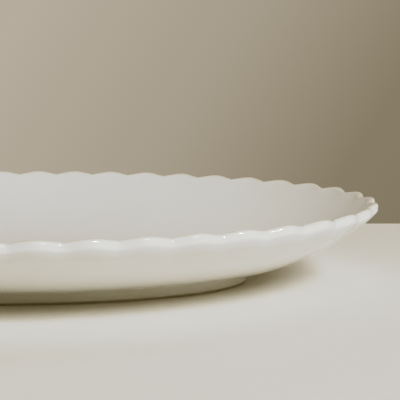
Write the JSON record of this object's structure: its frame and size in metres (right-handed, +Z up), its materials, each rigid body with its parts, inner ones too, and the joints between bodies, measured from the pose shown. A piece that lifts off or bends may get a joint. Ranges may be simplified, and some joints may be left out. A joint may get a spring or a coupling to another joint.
{
  "type": "oval serving platter",
  "caption": "Oval serving platter of white glazed china with a scalloped rim, a flaring wall, a shallow well and an oval foot ring, for serving food.",
  "frame": {"origin": "on the table plane, under the middle of the platter's outline", "axes": "+X along the platter's length, +Y across its width, +Z up out of the bowl"},
  "size_m": [0.3632, 0.2674, 0.0417],
  "materials": {
    "glaze": "glossy clear glaze over white clay",
    "bare_clay": "matte, unglazed"
  },
  "bodies": {
    "root": {"well_floor": "glaze", "cavetto": "glaze", "flared_wall": "glaze", "scalloped_lip": "glaze", "foot_ring": "glaze", "foot_contact_band": "bare_clay"}
  },
  "joints": []
}
